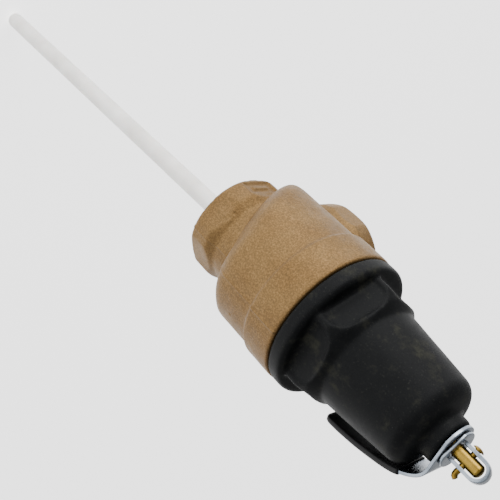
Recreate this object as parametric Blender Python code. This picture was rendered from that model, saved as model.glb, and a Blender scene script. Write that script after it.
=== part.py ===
"""Temperature and pressure relief valve for a water heater.

The frame is metres with +Z up the valve's axis, from the thermostat probe to the test lever.
The origin is the centre of the inlet's end face, and +X points out of the discharge outlet.
"""
import math

import bmesh
import bpy
from mathutils import Matrix, Vector

MM = 0.001

# Clearances
SEAT_GAP = 0.3 * MM             # between faces that rest on each other
SLIDE_GAP = 0.3 * MM            # radial play of a sliding or loosely held piece

# Inlet collar and waist of the body
PORT_RADIUS = 12.1 * MM         # female thread of both ports, at its crests
PORT_DEPTH = 15.0 * MM
COLLAR_ROUND = 18.7 * MM        # the hexagons' corners are turned down to this
COLLAR_FLATS = 35.2 * MM        # across the flats
COLLAR_LENGTH = 11.6 * MM
COLLAR_CHAMFER = 1.2 * MM
COLLAR_REAR_CHAMFER = 3.4 * MM
WAIST_RADIUS = 16.8 * MM
MOUTH_CHAMFER = 0.8 * MM

# Drum, ring and discharge outlet of the body
DRUM_RADIUS = 24.6 * MM
DRUM_FRONT = 26.8 * MM          # height of the drum's front edge, opposite the outlet
DRUM_SLOPE = 0.49               # fall of that edge towards the outlet
DRUM_FALL_LIMIT = 13.4 * MM
DRUM_FALL_START = 5.0 * MM      # how far in from the back of the drum its front starts to fall
DRUM_SHOULDER_HEIGHT = 7.0 * MM
RING_RADIUS = 25.6 * MM
RING_BOTTOM = 41.0 * MM
JOINT_HEIGHT = 53.4 * MM        # where body and bonnet meet
OUTLET_REACH = 29.4 * MM
OUTLET_HEIGHT = 25.0 * MM
OUTLET_ROUND = 19.6 * MM
OUTLET_FLATS = 37.6 * MM
OUTLET_COLLAR = 10.0 * MM
OUTLET_REAR_CHAMFER = 2.4 * MM
OUTLET_NECK_RADIUS = 17.6 * MM

# Passages inside the body
NOZZLE_BORE = 9.0 * MM
NOZZLE_RADIUS = 12.4 * MM
NOZZLE_FLOOR = 21.0 * MM        # shoulder that the thermostat holder bears on
SEAT_HEIGHT = 33.0 * MM
SEAT_LIP = 1.2 * MM
CHAMBER_RADIUS = 20.6 * MM
CHAMBER_FLOOR = 27.0 * MM
LEDGE_HEIGHT = 45.5 * MM        # the diaphragm's rim lies here
JOINT_BORE = 22.3 * MM

# Thermostat
HOLDER_BORE = 11.0 * MM
HOLDER_THICKNESS = 3.5 * MM
HOLDER_HUB = 5.6 * MM
HOLDER_RIM = 2.2 * MM
CLIP_THICKNESS = 1.0 * MM
CLIP_GROOVE_DEPTH = 0.9 * MM
CLIP_WIDTH = 2.2 * MM
CLIP_PLAY = 0.15 * MM           # above and below the circlip in its groove
PROBE_RADIUS = 3.35 * MM
PROBE_COATING = 0.55 * MM
PROBE_TIP = -170.5 * MM         # along the probe's own line
PROBE_TOP = 16.0 * MM
PROBE_LEAN = math.radians(2.1)  # the probe hangs a little off the valve's axis
PROBE_LEAN_AZIMUTH = math.radians(235.0)
LEAN_GAP = 0.15 * MM            # more under the probe's flange, because it sits at a slant
TUBE_WALL = 0.5 * MM
PROBE_PLAY = 0.2 * MM
WAX_TOP = -20.0 * MM
PROBE_FLANGE_RADIUS = 4.8 * MM
PROBE_FLANGE_HEIGHT = 3.0 * MM
ROD_RADIUS = 1.0 * MM
ROD_STROKE = 1.2 * MM
ROD_SEAL_HEIGHT = 2.0 * MM

# Disc, stem and diaphragm
DISC_RADIUS = 10.8 * MM
DISC_THICKNESS = 3.0 * MM
DISC_PROUD = 0.7 * MM           # how far the rubber stands out of its cup
CUP_WALL = 1.3 * MM
CUP_BACK = 2.4 * MM
CUP_BOSS_RADIUS = 6.0 * MM
SCREW_HEAD_RADIUS = 4.4 * MM
SCREW_HEAD_HEIGHT = 1.6 * MM
SCREW_SHANK_RADIUS = 1.9 * MM
SCREW_GRIP = 3.4 * MM           # length of the screw's shank inside the cup's boss
SCREW_HOLE_DEPTH = 4.0 * MM
SCREW_SLOT = 1.0 * MM
DIAPHRAGM_THICKNESS = 1.3 * MM
DIAPHRAGM_ARCH = 2.6 * MM
DIAPHRAGM_HUB = 13.2 * MM
CLAMP_INNER = 18.7 * MM
CLAMP_THICKNESS = 2.0 * MM
PLATE_RADIUS = 12.6 * MM
PLATE_THICKNESS = 1.8 * MM
STEM_SPIGOT = 2.5 * MM
STEM_COLLAR_RADIUS = 4.2 * MM
STEM_COLLAR_HEIGHT = 2.2 * MM
STEM_RADIUS = 3.0 * MM
STEM_TIP_RADIUS = 2.1 * MM
STEM_END = 117.0 * MM
STEM_DOME = 1.3 * MM
LIFT = 5.2 * MM

# Bonnet
FLANGE_THICKNESS = 5.7 * MM
FLANGE_ROUND = 1.8 * MM
HEX_TOP = 69.0 * MM
HEX_FLATS = 40.4 * MM
HEX_ROUND = 23.4 * MM
HEX_CORNER_AZIMUTH = math.radians(30.0)
PANEL_DEPTH = 0.6 * MM
PANEL_WIDTH = 19.4 * MM
PANEL_ROUND = 4.6 * MM
PANEL_MARGIN = 0.6 * MM         # above the flange and below the hexagon's lower edge
TAPER_BOTTOM_RADIUS = 18.5 * MM
TAPER_TOP_RADIUS = 16.0 * MM
TAPER_TOP = 95.2 * MM
CROWN_HEIGHT = 100.6 * MM
CROWN_ROUND = 5.2 * MM
NECK_RADIUS = 7.9 * MM
NECK_FILLET = 1.4 * MM
NECK_END = 105.4 * MM
SPIGOT_BOTTOM = 50.2 * MM
SPIGOT_INNER = 18.8 * MM
SPRING_ROOM_BOTTOM = 61.0 * MM
SPRING_ROOM_RADIUS = 13.4 * MM
CROWN_WALL = 4.0 * MM
BUSH_RADIUS = 5.0 * MM

# Spring
SPRING_MEAN_RADIUS = 10.3 * MM
SPRING_WIRE = 1.5 * MM
SPRING_TURNS = 7
UPPER_PLATE_RADIUS = 12.8 * MM
UPPER_PLATE_THICKNESS = 2.1 * MM

# Test lever
LEVER_THICKNESS = 1.1 * MM
LEVER_HALF_WIDTH = 6.6 * MM
EYE_RADIUS = 7.5 * MM
LEVER_BEND = [                  # reach from the stem and drop below the eye, along the arm
    (8.0 * MM, 0.0), (10.6 * MM, 0.8 * MM), (13.0 * MM, 2.8 * MM), (15.2 * MM, 5.8 * MM),
    (17.1 * MM, 9.6 * MM), (18.7 * MM, 15.0 * MM), (20.3 * MM, 22.0 * MM),
    (21.3 * MM, 28.5 * MM), (21.8 * MM, 34.2 * MM)]
HEEL = 7.0 * MM                 # the eye tips over this edge of the neck
EYE_SLOT_PLAY = 0.7 * MM         # between the stem and the sides of the eye's slot
EYE_SLOT_ROOM = 1.4 * MM         # more at the slot's ends, for the lever to tip
GRIP_WALL = 0.6 * MM
GRIP_PLAY = 0.2 * MM
GRIP_START = 94.0 * MM

# Saddle washer, bail and cross pin
SADDLE_THICKNESS = 1.0 * MM
SADDLE_RADIUS = 6.5 * MM
SADDLE_HALF_WIDTH = 5.0 * MM
BAIL_THICKNESS = 1.1 * MM
BAIL_PLAY = 0.45 * MM           # between the stem and the bail's legs
BAIL_HALF_SPAN = STEM_TIP_RADIUS + BAIL_PLAY + BAIL_THICKNESS
BAIL_WIDTH = 4.4 * MM
BAIL_TOP = 119.0 * MM
PIN_RADIUS = 0.95 * MM
PIN_HEIGHT = 111.8 * MM
PIN_HEAD_RADIUS = 1.8 * MM
PIN_HEAD_THICKNESS = 0.9 * MM
PIN_TAIL = 1.6 * MM             # of the pin past the bail
PIN_AZIMUTH = math.radians(55.0)

# Facets round a turned piece
FINE = 60
COARSE = 28
BORE_TURN = math.radians(1.7)


# ---------------------------------------------------------------- scene and helpers

def clear_scene():
    for thing in list(bpy.data.objects):
        bpy.data.objects.remove(thing, do_unlink=True)


def new_collection(name):
    collection = bpy.data.collections.new(name)
    bpy.context.scene.collection.children.link(collection)
    return collection


def material(name, colour, roughness, metallic=0.0):
    made = bpy.data.materials.new(name)
    made.use_nodes = True
    shader = made.node_tree.nodes["Principled BSDF"]
    shader.inputs["Base Color"].default_value = (*colour, 1.0)
    shader.inputs["Roughness"].default_value = roughness
    shader.inputs["Metallic"].default_value = metallic
    return made


def object_from_bmesh(name, shape, collection):
    mesh = bpy.data.meshes.new(name)
    shape.to_mesh(mesh)
    shape.free()
    mesh.shade_smooth()
    mesh.set_sharp_from_angle(angle=math.radians(35.0))
    made = bpy.data.objects.new(name, mesh)
    collection.objects.link(made)
    return made


def piece(name, shape, finish):
    """A named part of the valve, made from a bmesh."""
    made = object_from_bmesh(name, shape, PARTS)
    made.data.materials.append(finish)
    return made


def tool(name, shape):
    """A shape that only cuts or joins, and isn't part of the valve."""
    made = object_from_bmesh(name, shape, TOOLS)
    made.hide_render = True
    made.display_type = "WIRE"
    return made


def boolean(target, other, operation):
    modifier = target.modifiers.new(f"{operation.lower()}_{other.name}", "BOOLEAN")
    modifier.operation = operation
    modifier.object = other
    modifier.solver = "EXACT"


def cut(target, name, shape):
    boolean(target, tool(name, shape), "DIFFERENCE")


def join(target, name, shape):
    boolean(target, tool(name, shape), "UNION")


def turned(profile, sides=COARSE, start=0.0):
    """Solid turned about Z from (radius, height) points.

    The profile closes on itself, or along the axis where it starts and ends there.
    """
    shape = bmesh.new()
    points = [shape.verts.new((radius * math.cos(start), radius * math.sin(start), height))
              for radius, height in profile]
    edges = [shape.edges.new(pair) for pair in zip(points, points[1:])]
    if profile[0][0] > 0.0:
        edges.append(shape.edges.new((points[-1], points[0])))
    bmesh.ops.spin(shape, geom=points + edges, axis=(0, 0, 1), cent=(0, 0, 0),
                   steps=sides, angle=math.tau, use_duplicate=False)
    bmesh.ops.remove_doubles(shape, verts=shape.verts, dist=0.001 * MM)
    bmesh.ops.dissolve_degenerate(shape, edges=shape.edges, dist=0.001 * MM)
    bmesh.ops.recalc_face_normals(shape, faces=shape.faces)
    return shape


def bored(profile):
    """Turned cutter whose facets are turned a little, to miss the edges of what it cuts."""
    return turned(profile, 48, BORE_TURN)


def cylinder(radius, bottom, top, sides=COARSE, start=0.0):
    return turned([(0.0, top), (radius, top), (radius, bottom), (0.0, bottom)], sides, start)


def ring(inner, outer, bottom, top, sides=COARSE):
    return turned([(outer, top), (outer, bottom), (inner, bottom), (inner, top)], sides)


def box(low, high):
    shape = bmesh.new()
    bmesh.ops.create_cube(shape, size=1.0)
    size = Vector(high) - Vector(low)
    middle = (Vector(high) + Vector(low)) / 2
    bmesh.ops.scale(shape, vec=size, verts=shape.verts)
    bmesh.ops.translate(shape, vec=middle, verts=shape.verts)
    return shape


def prism(across_flats, corner_azimuth, bottom, top, corners=6):
    """Upright prism on a regular polygon with a corner at the given azimuth."""
    shape = bmesh.new()
    radius = across_flats / 2 / math.cos(math.pi / corners)
    bmesh.ops.create_cone(shape, cap_ends=True, segments=corners, radius1=radius,
                          radius2=radius, depth=top - bottom)
    bmesh.ops.translate(shape, vec=(0, 0, (top + bottom) / 2), verts=shape.verts)
    first = min(shape.verts, key=lambda corner: abs(math.atan2(corner.co.y, corner.co.x)))
    start = math.atan2(first.co.y, first.co.x)
    bmesh.ops.rotate(shape, cent=(0, 0, 0), verts=shape.verts,
                     matrix=Matrix.Rotation(corner_azimuth - start, 3, "Z"))
    return shape


def arc(centre, radius, start, end, steps):
    """Points of an arc, from one angle to another, in degrees."""
    angles = [math.radians(start + (end - start) * i / steps) for i in range(steps + 1)]
    return [(centre[0] + radius * math.cos(a), centre[1] + radius * math.sin(a)) for a in angles]


def along_x(shape, height):
    """Turns an upright shape to lie along +X at a height."""
    bmesh.ops.rotate(shape, cent=(0, 0, 0), verts=shape.verts,
                     matrix=Matrix.Rotation(math.pi / 2, 3, "Y"))
    bmesh.ops.translate(shape, vec=(0, 0, height), verts=shape.verts)
    return shape


def extruded(outline, low, high, axes):
    """Prism on a flat outline. The axes give the outline's two directions, then its own."""
    shape = bmesh.new()
    first, second, third = (Vector(axis) for axis in axes)
    corners = [shape.verts.new(first * a + second * b + third * low) for a, b in outline]
    face = shape.faces.new(corners)
    grown = bmesh.ops.extrude_face_region(shape, geom=[face])
    moved = [item for item in grown["geom"] if isinstance(item, bmesh.types.BMVert)]
    bmesh.ops.translate(shape, vec=third * (high - low), verts=moved)
    bmesh.ops.recalc_face_normals(shape, faces=shape.faces)
    return shape


def wire(name, points, radius, finish, resolution=2):
    """Round wire along a list of points, as a curve with a bevel and filled caps."""
    curve = bpy.data.curves.new(name, "CURVE")
    curve.dimensions = "3D"
    curve.bevel_depth = radius
    curve.bevel_resolution = resolution
    curve.use_fill_caps = True
    spline = curve.splines.new("POLY")
    spline.points.add(len(points) - 1)
    for target, point in zip(spline.points, points):
        target.co = (*point, 1.0)
    made = bpy.data.objects.new(name, curve)
    made.data.materials.append(finish)
    PARTS.objects.link(made)
    return made


def offset_path(path, distance):
    """Points at a distance to the left of an open path, mitred at its corners."""
    moved = []
    for i, point in enumerate(path):
        before = Vector(path[max(i - 1, 0)])
        after = Vector(path[min(i + 1, len(path) - 1)])
        here = Vector(point)
        first = (here - before).normalized() if i else (after - here).normalized()
        second = (after - here).normalized() if i < len(path) - 1 else first
        normal = Vector((-first.y, first.x)) + Vector((-second.y, second.x))
        normal.normalize()
        stretch = 1.0 / max(normal.dot(Vector((-first.y, first.x))), 0.5)
        moved.append(tuple(here + normal * distance * stretch))
    return moved


def strip_outline(path, low, high):
    """Closed outline of a strip that runs along a path, between two offsets from it."""
    return offset_path(path, high) + offset_path(path, low)[::-1]


# ---------------------------------------------------------------- body

def hexagon_collar(length, flats, rounding, rear_radius, rear_chamfer):
    """Wrench collar from 0 to its length, with its corners turned down at both ends."""
    turned_down = turned([
        (0.0, length), (rear_radius, length), (rounding, length - rear_chamfer),
        (rounding, COLLAR_CHAMFER), (rounding - COLLAR_CHAMFER, 0.0), (0.0, 0.0)], FINE)
    return turned_down, prism(flats, 0.0, -1.0 * MM, length + 1.0 * MM)


def body_core():
    """Waist, drum and ring as one turned form, with the drum's front drawn down to the outlet."""
    chamfer = 0.6 * MM
    shoulder = [(WAIST_RADIUS + (DRUM_RADIUS - WAIST_RADIUS) * math.cos(a),
                 DRUM_FRONT - DRUM_SHOULDER_HEIGHT * math.sin(a))
                for a in (math.pi / 2 * i / 6 for i in range(7))]
    shoulder[0] = (DRUM_RADIUS, DRUM_FRONT + 1.0 * MM)
    profile = [(0.0, JOINT_HEIGHT), (RING_RADIUS - chamfer, JOINT_HEIGHT),
               (RING_RADIUS, JOINT_HEIGHT - chamfer), (RING_RADIUS, RING_BOTTOM + chamfer),
               (RING_RADIUS - chamfer, RING_BOTTOM), (DRUM_RADIUS, RING_BOTTOM - 0.2 * MM),
               *shoulder, (WAIST_RADIUS, COLLAR_CHAMFER), (0.0, COLLAR_CHAMFER)]
    shape = turned(profile, FINE)
    lowest = shoulder[-1][1] - 0.1 * MM
    highest = shoulder[0][1] + 0.1 * MM
    start = DRUM_FALL_START - DRUM_RADIUS
    for vertex in shape.verts:
        if lowest < vertex.co.z < highest:
            fall = min(max(vertex.co.x - start, 0.0) * DRUM_SLOPE, DRUM_FALL_LIMIT)
            vertex.co.z = max(vertex.co.z - fall, COLLAR_CHAMFER + 0.5 * MM)
    return shape


def port_mouth():
    """A port's chamfered mouth, from the axis out to the bore."""
    mouth = PORT_RADIUS + MOUTH_CHAMFER
    return [(0.0, -1.0 * MM), (mouth, -1.0 * MM), (mouth, 0.0), (PORT_RADIUS, MOUTH_CHAMFER)]


def clip_bottom():
    return NOZZLE_FLOOR - SEAT_GAP - HOLDER_THICKNESS - SEAT_GAP - CLIP_THICKNESS


def valve_body():
    body = piece("valve_body", body_core(), BRONZE)

    rounding, hexagon = hexagon_collar(COLLAR_LENGTH, COLLAR_FLATS, COLLAR_ROUND,
                                        WAIST_RADIUS + 0.1 * MM, COLLAR_REAR_CHAMFER)
    collar = tool("inlet_collar_form", rounding)
    boolean(collar, tool("inlet_hexagon", hexagon), "INTERSECT")
    boolean(body, collar, "UNION")

    join(body, "outlet_neck", along_x(
        cylinder(OUTLET_NECK_RADIUS, 0.0, OUTLET_REACH - 1.0 * MM, FINE), OUTLET_HEIGHT))
    rounding, hexagon = hexagon_collar(OUTLET_COLLAR, OUTLET_FLATS, OUTLET_ROUND,
                                        OUTLET_NECK_RADIUS + 0.3 * MM, OUTLET_REAR_CHAMFER)
    for shape in (rounding, hexagon):
        bmesh.ops.rotate(shape, cent=(0, 0, 0), verts=shape.verts,
                         matrix=Matrix.Rotation(math.pi, 3, "Y"))
        bmesh.ops.translate(shape, vec=(0, 0, OUTLET_REACH), verts=shape.verts)
        along_x(shape, OUTLET_HEIGHT)
    collar = tool("outlet_collar_form", rounding)
    boolean(collar, tool("outlet_hexagon", hexagon), "INTERSECT")
    boolean(body, collar, "UNION")

    groove = clip_bottom() - CLIP_PLAY
    groove_top = clip_bottom() + CLIP_THICKNESS + CLIP_PLAY
    groove_radius = HOLDER_BORE + CLIP_GROOVE_DEPTH
    cut(body, "passages", bored([
        *port_mouth(), (PORT_RADIUS, PORT_DEPTH), (HOLDER_BORE, PORT_DEPTH),
        (HOLDER_BORE, groove), (groove_radius, groove),
        (groove_radius, groove_top), (HOLDER_BORE, groove_top), (HOLDER_BORE, NOZZLE_FLOOR),
        (NOZZLE_BORE, NOZZLE_FLOOR), (NOZZLE_BORE, SEAT_HEIGHT),
        (NOZZLE_BORE + SEAT_LIP, SEAT_HEIGHT), (NOZZLE_RADIUS, SEAT_HEIGHT - 2.0 * MM),
        (NOZZLE_RADIUS, CHAMBER_FLOOR), (CHAMBER_RADIUS, CHAMBER_FLOOR),
        (CHAMBER_RADIUS, LEDGE_HEIGHT), (JOINT_BORE, LEDGE_HEIGHT),
        (JOINT_BORE, JOINT_HEIGHT + 1.0 * MM), (0.0, JOINT_HEIGHT + 1.0 * MM)]))
    depth = OUTLET_REACH - NOZZLE_RADIUS - 2.0 * MM
    outlet = bored([*port_mouth(), (PORT_RADIUS, depth), (0.0, depth)])
    bmesh.ops.rotate(outlet, cent=(0, 0, 0), verts=outlet.verts,
                     matrix=Matrix.Rotation(math.pi, 3, "Y"))
    bmesh.ops.translate(outlet, vec=(0, 0, OUTLET_REACH), verts=outlet.verts)
    cut(body, "outlet_port", along_x(outlet, OUTLET_HEIGHT))


# ---------------------------------------------------------------- thermostat

def holder_bottom():
    return NOZZLE_FLOOR - SEAT_GAP - HOLDER_THICKNESS


def leaning(made):
    """Puts a piece on the probe's own line, which leans about the holder's middle."""
    made.parent = PROBE_LINE
    made.location = (0.0, 0.0, -PROBE_LINE.location.z)


def probe_line():
    axis = Vector((-math.sin(PROBE_LEAN_AZIMUTH), math.cos(PROBE_LEAN_AZIMUTH), 0.0))
    line = bpy.data.objects.new("probe_line", None)
    line.location = (0.0, 0.0, holder_bottom() + HOLDER_THICKNESS / 2)
    line.rotation_euler = Matrix.Rotation(-PROBE_LEAN, 3, axis).to_euler()
    PARTS.objects.link(line)
    return line


def closed_tube(outer, wall, tip, top, sides):
    """Tube with a round closed tip, open at the top."""
    inner = outer - wall
    outside = arc((0.0, tip + outer), outer, 0.0, -90.0, 6)
    inside = arc((0.0, tip + outer), inner, -90.0, 0.0, 6)
    outside[-1] = (0.0, tip)
    inside[0] = (0.0, tip + wall)
    shape = bmesh.new()
    profile = [*inside, (inner, top), (outer, top), *outside]
    points = [shape.verts.new((radius, 0.0, height)) for radius, height in profile]
    edges = [shape.edges.new(pair) for pair in zip(points, points[1:])]
    bmesh.ops.spin(shape, geom=points + edges, axis=(0, 0, 1), cent=(0, 0, 0),
                   steps=sides, angle=math.tau, use_duplicate=False)
    bmesh.ops.remove_doubles(shape, verts=shape.verts, dist=0.001 * MM)
    bmesh.ops.recalc_face_normals(shape, faces=shape.faces)
    return shape


def thermostat():
    tube_outer = PROBE_RADIUS - PROBE_COATING - PROBE_PLAY
    tube_inner = tube_outer - TUBE_WALL
    tube_tip = PROBE_TIP + PROBE_COATING + PROBE_PLAY
    flange_bottom = NOZZLE_FLOOR + LEAN_GAP
    flange_top = flange_bottom + PROBE_FLANGE_HEIGHT

    leaning(piece("probe_coating", closed_tube(
        PROBE_RADIUS, PROBE_COATING, PROBE_TIP, PROBE_TOP, COARSE), WHITE_POLYMER))
    leaning(piece("probe_tube", closed_tube(
        tube_outer, TUBE_WALL, tube_tip, flange_bottom - SEAT_GAP, COARSE), COPPER))

    wax_radius = tube_inner - PROBE_PLAY
    leaning(piece("wax_charge", cylinder(
        wax_radius, tube_tip + TUBE_WALL + tube_outer, WAX_TOP, 24), WAX))
    seal_bottom = flange_bottom - SEAT_GAP - ROD_SEAL_HEIGHT - 1.0 * MM
    leaning(piece("rod_seal", ring(
        ROD_RADIUS + PROBE_PLAY, wax_radius, seal_bottom, seal_bottom + ROD_SEAL_HEIGHT, 24), RUBBER))

    leaning(piece("probe_flange", ring(
        ROD_RADIUS + SLIDE_GAP, PROBE_FLANGE_RADIUS, flange_bottom, flange_top), BRASS))

    rod_top = SEAT_HEIGHT - SCREW_HEAD_HEIGHT - ROD_STROKE - SEAT_GAP
    rod = piece("push_rod", turned([
        (0.0, rod_top), (ROD_RADIUS * 0.6, rod_top), (ROD_RADIUS, rod_top - ROD_RADIUS * 0.5),
        (ROD_RADIUS, WAX_TOP + SEAT_GAP), (0.0, WAX_TOP + SEAT_GAP)], 24), STEEL)
    leaning(rod)

    bottom = holder_bottom()
    top = bottom + HOLDER_THICKNESS
    outer = HOLDER_BORE - SLIDE_GAP
    holder = piece("thermostat_holder", ring(outer - HOLDER_RIM, outer, bottom, top, COARSE), BRASS)
    bore = PROBE_RADIUS + SLIDE_GAP
    join(holder, "holder_hub", ring(bore, HOLDER_HUB, bottom, top, COARSE))
    for i in range(3):
        spoke = box((HOLDER_HUB - 0.8 * MM, -1.4 * MM, bottom + 0.1 * MM),
                    (outer - HOLDER_RIM + 0.6 * MM, 1.4 * MM, top - 0.1 * MM))
        bmesh.ops.rotate(spoke, cent=(0, 0, 0), verts=spoke.verts,
                         matrix=Matrix.Rotation(math.tau * i / 3 + math.pi / 2, 3, "Z"))
        join(holder, f"holder_spoke_{i}", spoke)

    outer = HOLDER_BORE + CLIP_GROOVE_DEPTH - 0.2 * MM
    clip = piece("holder_circlip", ring(
        outer - CLIP_WIDTH, outer, clip_bottom(), clip_bottom() + CLIP_THICKNESS, COARSE), STEEL)
    gap = box((0.0, -2.0 * MM, clip_bottom() - 1.0 * MM),
              (outer + 1.0 * MM, 2.0 * MM, clip_bottom() + 2.0 * MM))
    bmesh.ops.rotate(gap, cent=(0, 0, 0), verts=gap.verts,
                     matrix=Matrix.Rotation(math.pi / 6, 3, "Z"))
    cut(clip, "circlip_gap", gap)


# ---------------------------------------------------------------- disc, stem and diaphragm

def disc_bottom():
    return SEAT_HEIGHT + SEAT_GAP


def cup_floor():
    """Inside of the cup, which the rubber disc backs onto."""
    return disc_bottom() + DISC_THICKNESS + SEAT_GAP


def boss_top():
    return LEDGE_HEIGHT


def diaphragm_bottom():
    return LEDGE_HEIGHT + SEAT_GAP


def plate_bottom():
    return diaphragm_bottom() + DIAPHRAGM_THICKNESS + SEAT_GAP


def plate_top():
    return plate_bottom() + PLATE_THICKNESS


def disc_and_stem():
    shank = SCREW_SHANK_RADIUS
    piece("seat_disc", ring(shank + SLIDE_GAP, DISC_RADIUS, disc_bottom(),
                            disc_bottom() + DISC_THICKNESS, COARSE), RUBBER)

    head_top = disc_bottom() - SEAT_GAP
    screw = piece("disc_screw", turned([
        (0.0, cup_floor() + SCREW_GRIP), (shank, cup_floor() + SCREW_GRIP), (shank, head_top),
        (SCREW_HEAD_RADIUS, head_top), (SCREW_HEAD_RADIUS, head_top - SCREW_HEAD_HEIGHT),
        (0.0, head_top - SCREW_HEAD_HEIGHT)], 24), BRASS)
    cut(screw, "screw_slot", box(
        (-SCREW_HEAD_RADIUS - 1.0 * MM, -SCREW_SLOT / 2, head_top - SCREW_HEAD_HEIGHT - 1.0 * MM),
        (SCREW_HEAD_RADIUS + 1.0 * MM, SCREW_SLOT / 2, head_top - SCREW_HEAD_HEIGHT * 0.7)))

    inner = DISC_RADIUS + SLIDE_GAP
    outer = inner + CUP_WALL
    back = cup_floor() + CUP_BACK
    screw_hole = shank + SLIDE_GAP
    spigot_hole = STEM_SPIGOT + SLIDE_GAP
    hole_floor = cup_floor() + SCREW_HOLE_DEPTH
    piece("disc_holder", turned([
        (spigot_hole, boss_top()), (CUP_BOSS_RADIUS, boss_top()), (CUP_BOSS_RADIUS, back),
        (outer - 1.0 * MM, back), (outer, back - 1.0 * MM), (outer, disc_bottom() + DISC_PROUD),
        (inner, disc_bottom() + DISC_PROUD), (inner, cup_floor()), (screw_hole, cup_floor()),
        (screw_hole, hole_floor), (spigot_hole, hole_floor)], COARSE), BRASS)

    low = diaphragm_bottom()
    thick = DIAPHRAGM_THICKNESS
    hub = DIAPHRAGM_HUB
    middle = (hub + CLAMP_INNER) / 2
    outer_span = (CLAMP_INNER - hub) / 2 - 0.2 * MM
    inner_span = outer_span - thick * 0.6
    swell = [math.pi * i / 6 for i in range(7)]
    over = [(middle - outer_span * math.cos(a), low + thick + DIAPHRAGM_ARCH * math.sin(a))
            for a in swell]
    under = [(middle + inner_span * math.cos(a), low + DIAPHRAGM_ARCH * math.sin(a))
             for a in swell]
    rim = JOINT_BORE - SLIDE_GAP
    piece("diaphragm", turned([
        (rim, low + thick), (rim, low), *under, (spigot_hole, low), (spigot_hole, low + thick),
        *over], COARSE), RUBBER)
    clamp_low = low + thick + SEAT_GAP
    piece("clamp_ring", ring(CLAMP_INNER, JOINT_BORE - SLIDE_GAP, clamp_low,
                             clamp_low + CLAMP_THICKNESS, COARSE), BRASS)

    lip = SPRING_MEAN_RADIUS - SPRING_WIRE - 0.5 * MM
    piece("lower_spring_plate", turned([
        (spigot_hole, plate_top()), (spigot_hole, plate_bottom()), (PLATE_RADIUS, plate_bottom()),
        (PLATE_RADIUS, plate_top()), (lip, plate_top()), (lip, plate_top() + 1.5 * MM),
        (lip - 1.2 * MM, plate_top() + 1.5 * MM), (lip - 1.2 * MM, plate_top())], COARSE), STEEL)

    collar_low = plate_top() + SEAT_GAP
    collar_top = collar_low + STEM_COLLAR_HEIGHT
    step = bush_bottom() - SEAT_GAP - LIFT - 0.5 * MM
    dome = [(STEM_TIP_RADIUS * math.sin(a), STEM_END - STEM_DOME * (1.0 - math.cos(a)))
            for a in (math.pi / 2 * i / 5 for i in range(6))]
    stem = piece("stem", turned([
        *dome, (STEM_TIP_RADIUS, step + 0.6 * MM), (STEM_RADIUS, step),
        (STEM_RADIUS, collar_top), (STEM_COLLAR_RADIUS, collar_top),
        (STEM_COLLAR_RADIUS, collar_low), (STEM_SPIGOT, collar_low),
        (STEM_SPIGOT, hole_floor + SEAT_GAP), (0.0, hole_floor + SEAT_GAP)], COARSE), BRASS)
    cut(stem, "stem_pin_hole", across_pin(cylinder(PIN_RADIUS + SLIDE_GAP, -8.0 * MM, 8.0 * MM, 20)))


# ---------------------------------------------------------------- spring and bonnet

def crown_inside():
    return CROWN_HEIGHT - CROWN_WALL


def bush_bottom():
    return crown_inside() + SEAT_GAP


def upper_plate_bottom():
    return crown_inside() - SEAT_GAP - UPPER_PLATE_THICKNESS


def spring_and_plate():
    piece("upper_spring_plate", ring(
        STEM_RADIUS + 0.5 * MM, UPPER_PLATE_RADIUS, upper_plate_bottom(),
        upper_plate_bottom() + UPPER_PLATE_THICKNESS, COARSE), STEEL)

    low = plate_top() + SEAT_GAP + SPRING_WIRE
    high = upper_plate_bottom() - SEAT_GAP - SPRING_WIRE
    steps = SPRING_TURNS * 14
    points = []
    for i in range(steps + 1):
        share = i / steps
        angle = math.tau * SPRING_TURNS * share
        ends = 1.0 / SPRING_TURNS
        climb = min(max((share - ends) / (1.0 - 2 * ends), 0.0), 1.0)
        close = min(share, ends) + max(share - 1.0 + ends, 0.0)
        coil = 2.2 * SPRING_WIRE
        height = low + close / ends * coil + climb * (high - low - 2 * coil)
        points.append((SPRING_MEAN_RADIUS * math.cos(angle),
                       SPRING_MEAN_RADIUS * math.sin(angle), height))
    wire("main_spring", points, SPRING_WIRE, STEEL, resolution=1)


def bonnet_outside():
    """Turned outline of the bonnet without its hexagon, from the neck down to the spigot."""
    flange_top = JOINT_HEIGHT + SEAT_GAP + FLANGE_THICKNESS
    flange_low = JOINT_HEIGHT + SEAT_GAP
    flange_radius = RING_RADIUS - 0.3 * MM
    crown = arc((TAPER_TOP_RADIUS - CROWN_ROUND, TAPER_TOP), CROWN_ROUND, 75.0, 0.0, 6)
    neck = arc((NECK_RADIUS + NECK_FILLET, CROWN_HEIGHT + NECK_FILLET * 1.5), NECK_FILLET,
               180.0, 270.0, 3)
    rim = arc((flange_radius - FLANGE_ROUND, flange_top - FLANGE_ROUND), FLANGE_ROUND,
              90.0, 0.0, 4)
    return [(NECK_RADIUS - 0.5 * MM, NECK_END), (NECK_RADIUS, NECK_END - 0.5 * MM), *neck, *crown,
            (TAPER_BOTTOM_RADIUS, HEX_TOP + 2.0 * MM), (TAPER_BOTTOM_RADIUS + 0.4 * MM, flange_top),
            *rim, (flange_radius, flange_low), (JOINT_BORE - SLIDE_GAP, flange_low),
            (JOINT_BORE - SLIDE_GAP, SPIGOT_BOTTOM)]


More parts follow.
